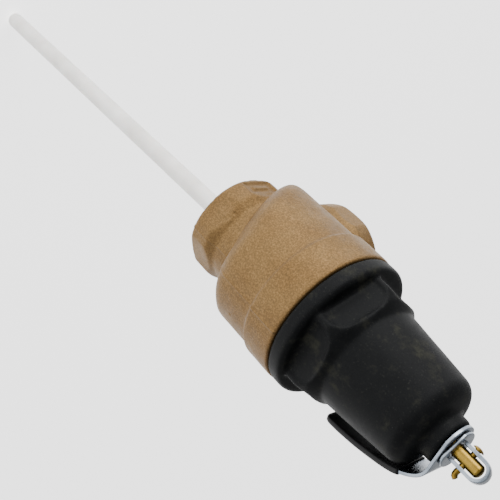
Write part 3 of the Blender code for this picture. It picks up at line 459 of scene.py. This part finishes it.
# Turned brass is yellow and a little dulled, with fine rings 0.25 mm apart across its axis. Drawn
# copper and steel have long faint lines, 0.3 mm apart, along it. Both are coarser than the real ones.
turned_brass = metal("turned_brass", "#6A5320", "#8C7231", 0.25 * MM, 0.3, 0.015 * MM, (0.15, 0.15, 1.0))
drawn_copper = metal("drawn_copper", "#A4603F", "#C98A63", 0.3 * MM, 0.3, 0.01 * MM, (1.0, 1.0, 0.05))
plain_steel = metal("plain_steel", "#77797B", "#9B9D9F", 0.3 * MM, 0.32, 0.012 * MM, (1.0, 1.0, 0.2))
# Moulded rubber is near black and matt. Wax is cream and soft, with no sharp highlight.
moulded_rubber = dull("moulded_rubber", "#17181A", "#2A2B2C", 0.4 * MM, 0.75, 0.03 * MM, 1.52)
cast_wax = dull("cast_wax", "#CDB98A", "#E2D3AA", 0.8 * MM, 0.5, 0.03 * MM, 1.43)
dress(drawn_copper, "probe_tube")
dress(cast_wax, "wax_charge")
dress(turned_brass, "probe_flange", "thermostat_holder")
dress(plain_steel, "push_rod", "holder_circlip")

# Disc, diaphragm and plates. A rubber disc in a brass cup shuts the seat; the diaphragm above it
# keeps water out of the bonnet, and its rim is held down by a brass ring.
dress(moulded_rubber, "seat_disc", "rod_seal", "diaphragm")
dress(turned_brass, "disc_screw", "disc_holder", "clamp_ring", "stem_bush")
dress(plain_steel, "lower_spring_plate", "upper_spring_plate")

# Main spring. Seven turns of 3 mm oil-tempered wire, coiled hot, with its end turns closed.
spring_low, spring_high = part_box("main_spring")
wire_radius = 1.5 * MM
spring_radius = 10.3 * MM
coils = 7
lowest = spring_low.z + wire_radius
highest = spring_high.z - wire_radius
spring_line = bpy.data.curves.new("spring_line", "CURVE")
spring_line.dimensions = "3D"
spring_line.bevel_depth = wire_radius
spring_line.bevel_resolution = 4
spring_line.use_fill_caps = True
run = spring_line.splines.new("POLY")
run.points.add(coils * 36)
for i, target in enumerate(run.points):
    share = i / (coils * 36)
    turn = math.tau * coils * share
    climb = min(max((share - 1 / coils) / (1.0 - 2 / coils), 0.0), 1.0)
    closing = (min(share, 1 / coils) + max(share - 1.0 + 1 / coils, 0.0)) * coils * 2.2 * wire_radius
    height = lowest + closing + climb * (highest - lowest - 4.4 * wire_radius)
    target.co = (spring_radius * math.cos(turn), spring_radius * math.sin(turn), height, 1.0)
coiled = bpy.data.objects.new("coiled_line", spring_line)
bpy.context.scene.collection.objects.link(coiled)
bpy.context.view_layer.update()
spring = bpy.data.objects.new("valve_spring", bpy.data.meshes.new_from_object(
    coiled.evaluated_get(bpy.context.evaluated_depsgraph_get())))
bpy.context.scene.collection.objects.link(spring)
bpy.data.objects.remove(coiled, do_unlink=True)
spring.data.shade_smooth()
spring.data.materials.clear()
# Oil-tempered wire is dark grey, evenly scaled and only half bright.
spring.data.materials.append(metal("oil_tempered_steel", "#3B3C3F", "#5D5F63", 0.3 * MM, 0.36, 0.01 * MM,
                                   (1.0, 1.0, 1.0)))
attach(spring, "valve")
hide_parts("main_spring")
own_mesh(spring)

# Bonnet. A black moulded cap that screws down on the joint: a round flange, a hexagon for the
# spanner with sunk panels in its flats, a tapered housing round the spring, and the stem's neck.
bonnet_low, bonnet_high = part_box("bonnet")
neck_end = bonnet_high.z
flange_radius = bonnet_high.x
flange_low = joint_height + 0.3 * MM
flange_top = flange_low + 5.7 * MM
hex_top = 69.0 * MM
housing = turned([
    (0.0, neck_end), (7.3 * MM, neck_end), (7.9 * MM, neck_end - 0.6 * MM),
    *arc((9.5 * MM, 102.4 * MM), 1.6 * MM, 180.0, 270.0, 4),
    *arc((10.8 * MM, 95.2 * MM), 5.2 * MM, 78.0, 0.0, 8),
    (18.5 * MM, 71.0 * MM), (18.9 * MM, flange_top),
    *arc((flange_radius - 1.8 * MM, flange_top - 1.8 * MM), 1.8 * MM, 90.0, 0.0, 5),
    (flange_radius, flange_low), (22.0 * MM, flange_low), (22.0 * MM, bonnet_low.z),
    (0.0, bonnet_low.z)])
housing = thing("housing", housing)
spanner_hexagon = thing("spanner_hexagon", turned([
    (0.0, hex_top + 3.0 * MM), (17.6 * MM, hex_top + 3.0 * MM), (21.2 * MM, hex_top - 1.0 * MM),
    (23.4 * MM, hex_top - 5.0 * MM), (23.4 * MM, flange_top - 1.0 * MM),
    (0.0, flange_top - 1.0 * MM)]))
carve(spanner_hexagon, hexagon(40.4 * MM, math.radians(30.0), flange_top - 2.0 * MM, 75.0 * MM),
      "INTERSECT")
panel_half = 10.0 * MM
panel_round = 5.0 * MM
panel_high = hex_top - 0.6 * MM
panel_edge = [(-panel_half, flange_top + 0.5 * MM), (panel_half, flange_top + 0.5 * MM),
              *arc((panel_half - panel_round, panel_high - panel_round), panel_round, 0, 90, 8),
              *arc((panel_round - panel_half, panel_high - panel_round), panel_round, 90, 180, 8)]
for flat in range(6):
    turn = math.radians(60.0 + 60.0 * flat)
    outward = Vector((math.cos(turn), math.sin(turn), 0.0))
    along = Vector((-math.sin(turn), math.cos(turn), 0.0))
    panel = bmesh.new()
    face = panel.faces.new([panel.verts.new(along * a + Vector((0, 0, b)) + outward * 19.6 * MM)
                            for a, b in panel_edge])
    grown = bmesh.ops.extrude_face_region(panel, geom=[face])["geom"]
    bmesh.ops.translate(panel, vec=outward * 4.0 * MM,
                        verts=[item for item in grown if isinstance(item, bmesh.types.BMVert)])
    bmesh.ops.recalc_face_normals(panel, faces=panel.faces)
    carve(spanner_hexagon, panel)
for solid in (housing, spanner_hexagon):
    carve(solid, turned([
        (0.0, neck_end + 1.0 * MM), (5.3 * MM, neck_end + 1.0 * MM), (5.3 * MM, 96.6 * MM),
        (13.4 * MM, 96.6 * MM), (13.4 * MM, 61.0 * MM), (18.8 * MM, 56.0 * MM),
        (18.8 * MM, bonnet_low.z - 1.0 * MM), (0.0, bonnet_low.z - 1.0 * MM)], 96, bore_turn))
bonnet_moulding = gather("bonnet_moulding", [housing, spanner_hexagon])
recast(bonnet_moulding, 0.45 * MM, 2)
points, normals = points_and_normals(bonnet_moulding)
x, y, z = points.T
radius = np.hypot(x, y)
inside = np.maximum(within(radius - 14.5 * MM, 0.5 * MM) * within(radius - 6.5 * MM, 0.2 * MM),
                    within(z - 53.6 * MM, 0.3 * MM))
relax(bonnet_moulding, 4, inside * 0.9)
points, normals = points_and_normals(bonnet_moulding)
sink = np.array([noise.noise(Vector(p) / (9.0 * MM)) for p in points])
swell(bonnet_moulding, sink * 0.05 * MM * (1.0 - inside))
bonnet_moulding.data.shade_smooth()


def dusty_black_moulding():
    """Black glass-filled moulding: matt, faintly blue, with pale dust on it in drifts and specks."""
    made = bpy.data.materials.new("dusty_black_moulding")
    made.use_nodes = True
    tree = made.node_tree
    place = add(tree, "TexCoord", {}, {}).outputs["Object"]
    # a spark-eroded skin of 0.3 mm drawn at 0.5 mm to show, dust in 7 mm drifts and 0.7 mm specks
    skin = add(tree, "TexNoise", {}, {"Vector": place, "Scale": 1 / (0.5 * MM), "Detail": 3.0}).outputs["Fac"]
    drifts = add(tree, "TexNoise", {}, {"Vector": place, "Scale": 1 / (7.0 * MM), "Detail": 5.0,
                                        "Roughness": 0.7}).outputs["Fac"]
    specks = add(tree, "TexNoise", {}, {"Vector": place, "Scale": 1 / (0.7 * MM),
                                        "Detail": 1.0}).outputs["Fac"]
    base = add(tree, "ValToRGB", {}, {"Fac": drifts},
               [(0.35, "#060708"), (0.55, "#0B0C0D"), (0.74, "#22221C")]).outputs["Color"]
    few = add(tree, "MapRange", {}, {"Value": specks, "From Min": 0.64, "From Max": 0.8,
                                     "To Min": 0.0, "To Max": 0.28}).outputs["Result"]
    tone = add(tree, "Mix", {"data_type": "RGBA"}, {"Factor": few, "A": base,
                                                    "B": colour("#34352F")}).outputs["Result"]
    rough = add(tree, "MapRange", {}, {"Value": drifts, "From Min": 0.3, "From Max": 0.75,
                                       "To Min": 0.5, "To Max": 0.66}).outputs["Result"]
    bump = add(tree, "Bump", {}, {"Strength": 0.55, "Distance": 0.05 * MM, "Height": skin}).outputs["Normal"]
    shader = tree.nodes["Principled BSDF"]
    shader.inputs["IOR"].default_value = 1.48
    shader.inputs["Specular IOR Level"].default_value = 0.08
    tree.links.new(tone, shader.inputs["Base Color"])
    tree.links.new(rough, shader.inputs["Roughness"])
    tree.links.new(bump, shader.inputs["Normal"])
    return made


bonnet_moulding.data.materials.clear()
bonnet_moulding.data.materials.append(dusty_black_moulding())
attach(bonnet_moulding, "valve")
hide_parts("bonnet")

# Stem. Turned from brass bar: a collar that the lower plate bears on, a guided length, and a thin
# end that comes out of the neck, cross-drilled for the pin and rounded over.
stem_low, stem_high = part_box("stem")
pin_height = 111.8 * MM
pin_way = math.radians(55.0)
across_neck = (Matrix.Translation((0, 0, pin_height)) @ Matrix.Rotation(pin_way, 4, "Z")
               @ Matrix.Rotation(math.pi / 2, 4, "Y"))
stem_end = stem_high.z
stem_rod = thing("stem_rod", turned([
    *[(2.1 * MM * math.sin(a), stem_end - 1.3 * MM * (1.0 - math.cos(a)))
      for a in (math.pi / 2 * i / 10 for i in range(11))],
    (2.1 * MM, 91.5 * MM), (3.0 * MM, 90.9 * MM), (3.0 * MM, 51.7 * MM), (4.2 * MM, 51.7 * MM),
    (4.2 * MM, 49.5 * MM), (2.5 * MM, 49.5 * MM), (2.5 * MM, stem_low.z), (0.0, stem_low.z)], 64))
carve(stem_rod, moved(turned([(0.0, 8 * MM), (1.2 * MM, 8 * MM), (1.2 * MM, -8 * MM),
                              (0.0, -8 * MM)], 32), across_neck))
stem_rod.data.shade_smooth()
stem_rod.data.set_sharp_from_angle(angle=math.radians(40.0))
stem_rod.data.materials.clear()
stem_rod.data.materials.append(turned_brass)
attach(stem_rod, "stem")
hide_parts("stem")

# Test lever. Blanked from 1.1 mm steel with a slotted eye, bent down over the bonnet's shoulder
# and zinc plated. Its eye lies on the neck, and its arm ends in a dipped black sleeve.
lever_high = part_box("lever")[1]
sheet = 1.1 * MM
lever_flat = lever_high.z - sheet / 2
heel = 7.0 * MM
lever_half = 6.6 * MM
bends = [(heel, 0.0), (2.0 * MM, 0.0), (-4.0 * MM, 0.0), (-8.0 * MM, 0.0), (-10.6 * MM, -0.8 * MM),
         (-13.0 * MM, -2.8 * MM), (-15.2 * MM, -5.8 * MM), (-17.1 * MM, -9.6 * MM),
         (-18.7 * MM, -15.0 * MM), (-20.3 * MM, -22.0 * MM), (-21.3 * MM, -28.5 * MM),
         (-21.8 * MM, -34.2 * MM)]


def smooth_line(corners, steps):
    """Points of a smooth curve through the corners of a route."""
    ends = [corners[0], *corners, corners[-1]]
    line = []
    for i in range(len(corners) - 1):
        a, b, c, d = (Vector(p) for p in ends[i:i + 4])
        for j in range(steps):
            t = j / steps
            line.append(0.5 * (2 * b + (c - a) * t + (2 * a - 5 * b + 4 * c - d) * t * t
                               + (3 * b - a - 3 * c + d) * t * t * t))
    return [*line, Vector(corners[-1])]


lever_line = smooth_line(bends, 6)
reaches = [0.0]
for before, after in zip(lever_line, lever_line[1:]):
    reaches.append(reaches[-1] + (after - before).length)
lever_length = reaches[-1]


def on_lever(across, along, above):
    """Place of a point of the flat blank once the lever is bent."""
    along = min(max(along, -10.0 * MM), lever_length + 5.0 * MM)
    i = min(max(np.searchsorted(reaches, along) - 1, 0), len(reaches) - 2)
    first, second = lever_line[i], lever_line[i + 1]
    way = (second - first).normalized()
    here = first + way * (along - reaches[i])
    before = (lever_line[i] - lever_line[max(i - 1, 0)]).normalized() if i else way
    after = (lever_line[min(i + 2, len(lever_line) - 1)] - second).normalized()
    share = min(max((along - reaches[i]) / (reaches[i + 1] - reaches[i]), 0.0), 1.0)
    after = after if after.length > 0.5 else way
    near = ((before + way) / 2).lerp((way + after) / 2, share).normalized()
    return Vector((across, here.x - near.y * -above, lever_flat + here.y - near.x * above))


def blanked(outline, holes, thickness, round_over):
    """Flat blank of sheet, as a bmesh, with its edges rounded over."""
    flat = bpy.data.curves.new("blank", "CURVE")
    flat.dimensions = "2D"
    flat.fill_mode = "BOTH"
    flat.extrude = thickness / 2 - round_over
    flat.bevel_depth = round_over
    flat.bevel_resolution = 2
    flat.offset = -round_over
    for loop in (outline, *holes):
        run = flat.splines.new("POLY")
        run.points.add(len(loop) - 1)
        run.use_cyclic_u = True
        for target, (a, b) in zip(run.points, loop):
            target.co = (a, b, 0.0, 1.0)
    blank = bpy.data.objects.new("blank", flat)
    bpy.context.scene.collection.objects.link(blank)
    bpy.context.view_layer.update()
    seen = blank.evaluated_get(bpy.context.evaluated_depsgraph_get())
    mesh = bpy.data.meshes.new_from_object(seen)
    bpy.data.objects.remove(blank, do_unlink=True)
    shape = bmesh.new()
    shape.from_mesh(mesh)
    bmesh.ops.remove_doubles(shape, verts=shape.verts, dist=0.002 * MM)
    return shape


def finished(name, shape, sharp):
    """Puts a shape into the scene, smooth but for edges sharper than an angle in degrees."""
    made = thing(name, shape)
    made.data.shade_smooth()
    made.data.set_sharp_from_angle(angle=math.radians(sharp))
    return made


def bent(name, outline, holes, thickness, round_over):
    """Blanks an outline from sheet and bends it along the lever's line."""
    shape = blanked(outline, holes, thickness, round_over)
    ends = [point.co.y for point in shape.verts]
    cuts = int((max(ends) - min(ends)) / (0.8 * MM))
    for i in range(1, cuts):
        place = min(ends) + (max(ends) - min(ends)) * i / cuts
        bmesh.ops.bisect_plane(shape, geom=shape.verts[:] + shape.edges[:] + shape.faces[:],
                               plane_co=(0, place, 0), plane_no=(0, 1, 0), dist=0.001 * MM)
    for point in shape.verts:
        point.co = on_lever(*point.co)
    bmesh.ops.recalc_face_normals(shape, faces=shape.faces)
    return finished(name, shape, 50.0)


eye_turn = math.degrees(math.acos(lever_half / (7.5 * MM)))
corner = 1.6 * MM
blank_edge = [*[(a, heel + b) for a, b in arc((0, 0), 7.5 * MM, 360.0 - eye_turn, 180.0 + eye_turn, 24)],
              *arc((corner - lever_half, lever_length - corner), corner, 180.0, 90.0, 5),
              *arc((lever_half - corner, lever_length - corner), corner, 90.0, 0.0, 5)]
slot_edge = [(2.8 * MM * math.cos(a), heel + 4.2 * MM * math.sin(a))
             for a in (math.tau * i / 32 for i in range(32))]
lever_plate = bent("lever_plate", blank_edge, [slot_edge], sheet, 0.2 * MM)
# Bright zinc plate is pale and faintly blue, with cloudy patches 5 mm across.
bright_zinc = metal("bright_zinc_plate", "#6C747D", "#8B929B", 0.5 * MM, 0.27, 0.02 * MM, (1.0, 1.0, 1.0))
lever_plate.data.materials.clear()
lever_plate.data.materials.append(bright_zinc)
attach(lever_plate, "lever")
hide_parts("lever")

grip_start = lever_length
for i, point in enumerate(lever_line):
    if lever_flat + point.y < 100.4 * MM:
        grip_start = reaches[i]
        break
sleeve = bmesh.new()
section = []
for a, b, first in ((1, 1, 0), (-1, 1, 90), (-1, -1, 180), (1, -1, 270)):
    section += [(a * (lever_half - 0.3 * MM) + p, b * 0.25 * MM + q)
                for p, q in arc((0, 0), 0.8 * MM, first, first + 90, 3)]
stations = [grip_start + (lever_length + 0.5 * MM - grip_start) * i / 44 for i in range(45)]
rings = []
for i, station in enumerate(stations):
    left = (lever_length + 0.55 * MM - station) / (2.6 * MM)
    narrow = math.sqrt(1.0 - (1.0 - left) ** 2) if left < 1.0 else 1.0
    lip = 1.0 if i else 0.93
    wide, thick = 0.75 + 0.25 * narrow, lip * (0.55 + 0.45 * narrow)
    rings.append([sleeve.verts.new(on_lever(a * wide, station, b * thick)) for a, b in section])
throat_depth = 1.5 * MM
throat, throat_floor = [[sleeve.verts.new(on_lever(a * 0.93, grip_start + deeper, b * 0.62))
                         for a, b in section] for deeper in (0.0, throat_depth)]
bands = [throat_floor, throat, *rings]
for one, two in zip(bands, bands[1:]):
    for i in range(len(section)):
        j = (i + 1) % len(section)
        sleeve.faces.new((one[i], one[j], two[j], two[i]))
sleeve.faces.new(rings[-1])
sleeve.faces.new(throat_floor[::-1])
bmesh.ops.recalc_face_normals(sleeve, faces=sleeve.faces)
grip_sleeve = thing("grip_sleeve", sleeve)
grip_sleeve.data.shade_smooth()
# Dipped vinyl is smooth and black with a low sheen, so little of the white room shows in it.
dipped_vinyl = dull("dipped_black_vinyl", "#0A0A0B", "#141415", 0.5 * MM, 0.46, 0.02 * MM, 1.54)
dipped_vinyl.node_tree.nodes["Principled BSDF"].inputs["Specular IOR Level"].default_value = 0.16
grip_sleeve.data.materials.append(dipped_vinyl)
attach(grip_sleeve, "lever")
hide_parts("lever_grip")

# Saddle washer and bail. The washer lies on the lever's eye, and the U-shaped strip stands on it
# with the cross pin through its legs, so that the lever lifts the stem.
saddle_low, saddle_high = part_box("saddle_washer")
bail_low, bail_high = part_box("bail")
pin_turn = Matrix.Rotation(pin_way, 4, "Z")


def pressed(name, outline, holes, thickness, round_over, matrix):
    """Blanks an outline from sheet and turns it to where it belongs."""
    shape = blanked(outline, holes, thickness, round_over)
    bmesh.ops.recalc_face_normals(shape, faces=shape.faces)
    return finished(name, moved(shape, matrix), 50.0)


spread = math.degrees(math.asin(5.0 / 6.5))
washer_edge = (arc((0, 0), 6.5 * MM, -spread, spread, 16)
               + arc((0, 0), 6.5 * MM, 180 - spread, 180 + spread, 16))
washer_hole = arc((0, 0), 2.4 * MM, 0.0, 348.75, 31)
saddle = pressed("saddle_plate", washer_edge, [washer_hole], saddle_high.z - saddle_low.z, 0.28 * MM,
                 Matrix.Translation((0, 0, (saddle_low.z + saddle_high.z) / 2)) @ pin_turn)
half_span = 3.65 * MM
strip = 1.1 * MM
bail_edge = [(-half_span, bail_low.z), *arc((0, bail_high.z - half_span), half_span, 180.0, 0.0, 28),
             (half_span, bail_low.z), (half_span - strip, bail_low.z),
             *arc((0, bail_high.z - half_span), half_span - strip, 0.0, 180.0, 24),
             (strip - half_span, bail_low.z)]
upright = pin_turn @ Matrix.Rotation(math.pi / 2, 4, "X")
bail_strap = pressed("bail_strap", bail_edge, [], 4.4 * MM, 0.2 * MM, upright)
carve(bail_strap, moved(turned([(0.0, 8 * MM), (1.2 * MM, 8 * MM), (1.2 * MM, -8 * MM),
                                (0.0, -8 * MM)], 32), across_neck))
bail_strap.data.shade_smooth()
bail_strap.data.set_sharp_from_angle(angle=math.radians(50.0))
for strap, node in ((saddle, "saddle_washer"), (bail_strap, "bail")):
    strap.data.materials.clear()
    strap.data.materials.append(bright_zinc)
    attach(strap, "stem")
    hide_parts(node)

# Cross pin. A brass rivet with a low round head, pushed through bail and stem, with its tail bent.
pin_head = half_span + 0.3 * MM
pin_profile = [(0.0, pin_head + 0.95 * MM), (0.9 * MM, pin_head + 0.85 * MM),
               (1.5 * MM, pin_head + 0.55 * MM),
               (1.8 * MM, pin_head + 0.2 * MM), (1.75 * MM, pin_head), (0.95 * MM, pin_head),
               *[(0.95 * MM, pin_head - 0.6 * MM * i) for i in range(1, 17)],
               (0.8 * MM, pin_head - 10.4 * MM), (0.0, pin_head - 10.6 * MM)]
pin_shape = turned(pin_profile, 32)
tail_bend = 1.3 * MM
tail_turn = 1.1
straight_end = -half_span - 1.0 * MM
for point in pin_shape.verts:
    past = straight_end - point.co.z
    if past > 0.0:
        turn = min(past / tail_bend, tail_turn)
        extra = max(past - tail_bend * tail_turn, 0.0)
        offset = point.co.x + tail_bend
        point.co = Vector((-tail_bend + offset * math.cos(turn) - extra * math.sin(turn), point.co.y,
                           straight_end - offset * math.sin(turn) - extra * math.cos(turn)))
pin = finished("rivet_pin", moved(pin_shape, across_neck), 45.0)
pin.data.materials.append(turned_brass)
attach(pin, "stem")
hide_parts("cross_pin")

# Camera, floor and lights. The valve stands on its probe over a plain white table.
floor_shape = bmesh.new()
bmesh.ops.create_grid(floor_shape, x_segments=1, y_segments=1, size=30.0)
bmesh.ops.translate(floor_shape, vec=(0, 0, cad_box[0].z - 0.6 * MM), verts=floor_shape.verts)
floor = thing("floor", floor_shape)
floor_paint = bpy.data.materials.new("white_table")
floor_paint.use_nodes = True
paint = floor_paint.node_tree.nodes["Principled BSDF"].inputs
paint["Base Color"].default_value = colour("#FBFBFB")
paint["Roughness"].default_value = 0.9
paint["Emission Color"].default_value = colour("#FFFFFF")
paint["Emission Strength"].default_value = 2.0
floor.data.materials.append(floor_paint)

world = bpy.data.worlds.new("studio")
world.use_nodes = True
world.node_tree.nodes["Background"].inputs["Color"].default_value = (1.0, 1.0, 1.0, 1.0)
world.node_tree.nodes["Background"].inputs["Strength"].default_value = 0.68
bpy.context.scene.world = world

camera_right = Vector((0.721608, 0.372154, 0.583767))
camera_up = Vector((0.078994, 0.793456, -0.603479))
camera_back = Vector((-0.687781, 0.481589, 0.543166))
camera_place = Vector((-0.18998, 0.12964, 0.16181))


def softbox(name, direction, distance, size, power):
    """Square area light that faces the valve from a direction."""
    light = bpy.data.lights.new(name, "AREA")
    light.size = size
    light.energy = power
    made = bpy.data.objects.new(name, light)
    made.location = Vector((0, 0, 0.03)) + direction.normalized() * distance
    made.rotation_mode = "QUATERNION"
    made.rotation_quaternion = (-direction).to_track_quat("-Z", "Y")
    bpy.context.scene.collection.objects.link(made)


softbox("key_softbox", camera_up * 0.75 + camera_right * 0.35 + camera_back * 0.5, 0.7, 0.5, 5.0)
softbox("fill_softbox", camera_back * 0.8 - camera_right * 0.5, 0.9, 0.8, 1.5)

lens = bpy.data.cameras.new("camera")
lens.lens = 57.94
lens.sensor_width = 36.0
lens.clip_start = 0.01
lens.clip_end = 100.0
camera = bpy.data.objects.new("camera", lens)
axes = Matrix((camera_right, camera_up, camera_back)).transposed().to_4x4()
camera.matrix_world = Matrix.Translation(camera_place) @ axes
bpy.context.scene.collection.objects.link(camera)
bpy.context.scene.camera = camera
